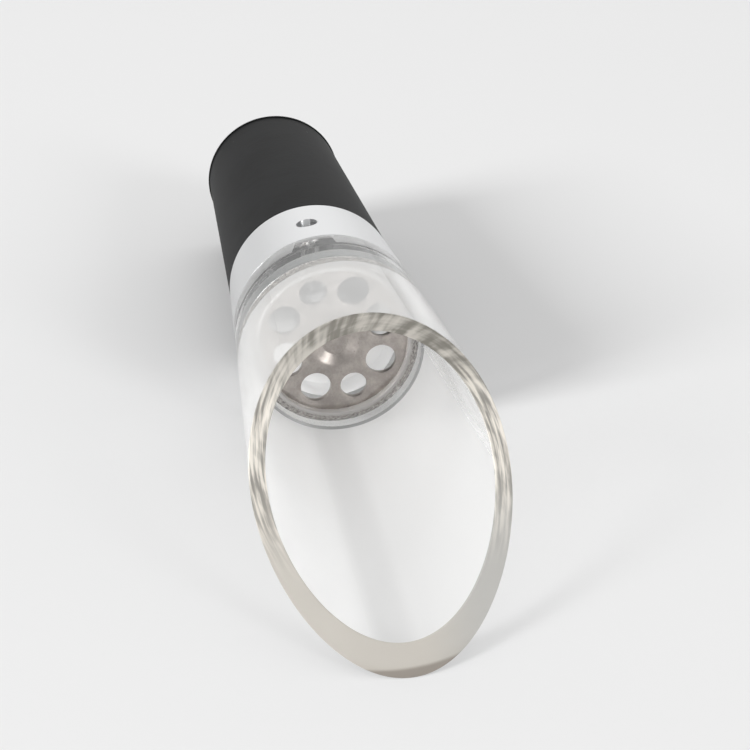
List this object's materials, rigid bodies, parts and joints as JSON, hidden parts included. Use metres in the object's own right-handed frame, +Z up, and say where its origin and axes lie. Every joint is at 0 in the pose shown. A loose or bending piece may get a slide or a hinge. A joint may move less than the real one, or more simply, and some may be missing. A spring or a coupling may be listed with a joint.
{
  "type": "wine aerator pourer",
  "caption": "Clear flared spout with a slanted scooped mouth, perforated steel disc, aluminium air collar and tapered rubber stopper that plugs a bottle neck.",
  "frame": {"origin": "on the table, below the middle of the pourer's length as it lies", "axes": "-Y towards the mouth and +Y towards the stopper, tilted only as the pourer rests, +Z up from the table, +X to the right when looking along +Y"},
  "size_m": [0.0278, 0.104, 0.0269],
  "materials": {
    "black_rubber": "smooth matte",
    "satin_aluminium": "fine satin",
    "clear_acrylic": "clear, polished",
    "stamped_steel": "plain stamped",
    "clear_ring": "clear, polished"
  },
  "bodies": {
    "root": {"stopper": "black_rubber", "air_collar": "satin_aluminium", "spout_body": "clear_acrylic", "diffuser_disc": "stamped_steel", "disc_retainer": "clear_ring"}
  },
  "joints": []
}
